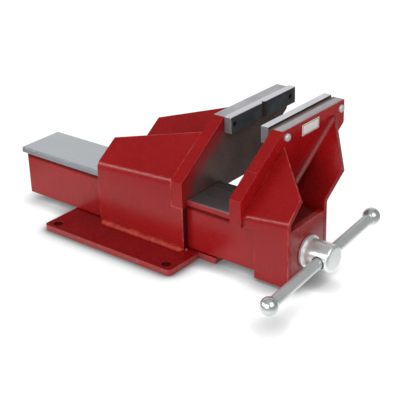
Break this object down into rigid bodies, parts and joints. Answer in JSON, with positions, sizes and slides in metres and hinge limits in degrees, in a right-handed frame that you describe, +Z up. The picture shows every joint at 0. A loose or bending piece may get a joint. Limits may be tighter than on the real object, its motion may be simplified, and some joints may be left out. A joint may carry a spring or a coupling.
{
  "type": "offset bench vise",
  "caption": "Fabricated steel bench vise with jaws offset to one side of a box slide, a screw spindle with a sliding tommy bar, and a bolt-down base.",
  "frame": {"origin": "centre of the base bolt pattern, on the underside of the base plate", "axes": "+X along the slide towards the spindle handle, +Y towards the side the jaws are offset to, +Z up from the bench"},
  "size_m": [0.3555, 0.224, 0.117],
  "materials": {
    "red_enamel": "gloss enamel with light wear at the edges",
    "jaw_steel": "dark rolled steel with red overspray",
    "insert_steel": "hardened, dark faces and ground tops",
    "slide_steel": "drawn bright, brushed lengthwise",
    "zinc_steel": "bright zinc plate",
    "screw_steel": "oiled",
    "bronze": "cast and machined",
    "label_enamel": "plain white"
  },
  "bodies": {
    "body": {"base_plate": "red_enamel", "near_wall": "red_enamel", "far_wall": "red_enamel", "fixed_jaw_plate": "jaw_steel", "fixed_jaw_insert": "insert_steel", "fixed_jaw_bolts": "zinc_steel", "rear_keeper": "red_enamel", "nut_block": "bronze", "nut_screws": "zinc_steel"},
    "moving_jaw": {"slide_top": "slide_steel", "slide_side_near": "red_enamel", "slide_side_far": "red_enamel", "slide_tie": "red_enamel", "moving_jaw_plate": "red_enamel", "moving_jaw_insert": "insert_steel", "insert_backing": "red_enamel", "moving_jaw_bolts": "zinc_steel", "near_cheek": "red_enamel", "far_cheek": "red_enamel", "front_plate": "red_enamel", "spindle_bush": "bronze", "label_plate": "label_enamel"},
    "spindle": {"spindle_screw": "screw_steel", "spindle_head": "zinc_steel", "thrust_flange": "zinc_steel", "retaining_collar": "screw_steel", "collar_pin": "screw_steel", "end_washer": "zinc_steel", "end_screw": "zinc_steel"},
    "handle": {"handle_bar": "zinc_steel", "handle_ball_near": "zinc_steel", "handle_ball_far": "zinc_steel"}
  },
  "joints": [
    {"name": "jaw_slide", "type": "slide", "parent": "body", "child": "moving_jaw", "axis": [1, 0, 0], "range_m": [-0.0326, 0.0802]},
    {"name": "spindle_turn", "type": "hinge", "parent": "moving_jaw", "child": "spindle", "pos_m": [0.1785, 0, 0.028], "axis": [1, 0, 0], "range_deg": [-2340, 5760]},
    {"name": "handle_slide", "type": "slide", "parent": "spindle", "child": "handle", "axis": [0, 0.9945, 0.1045], "range_m": [-0.053, 0.061]}
  ],
  "couplings": [
    {"joint": "jaw_slide", "follows": "spindle_turn", "m_per_rad": 0.00079577}
  ]
}
